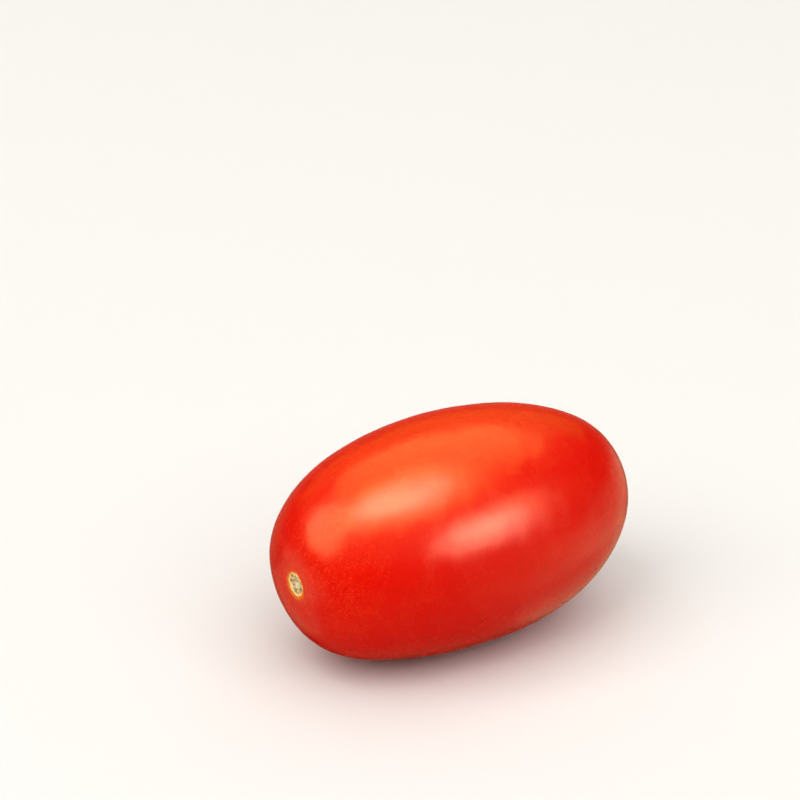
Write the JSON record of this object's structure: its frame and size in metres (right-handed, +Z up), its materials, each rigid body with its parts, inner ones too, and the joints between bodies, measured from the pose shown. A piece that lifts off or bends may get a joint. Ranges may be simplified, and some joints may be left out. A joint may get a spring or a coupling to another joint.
{
  "type": "plum tomato",
  "caption": "Ripe red plum tomato lying on its side: a smooth, glossy oval fruit with a small corky stem scar at one end and a blossom scar at the other.",
  "frame": {"origin": "on the surface that the fruit lies on, under the middle of its bounding box", "axes": "+X along the fruit from the stem end to the blossom end, +Z up"},
  "size_m": [0.0682, 0.0416, 0.0396],
  "materials": {
    "tomato_skin": null
  },
  "bodies": {
    "root": {"tomato": "tomato_skin"}
  },
  "joints": []
}
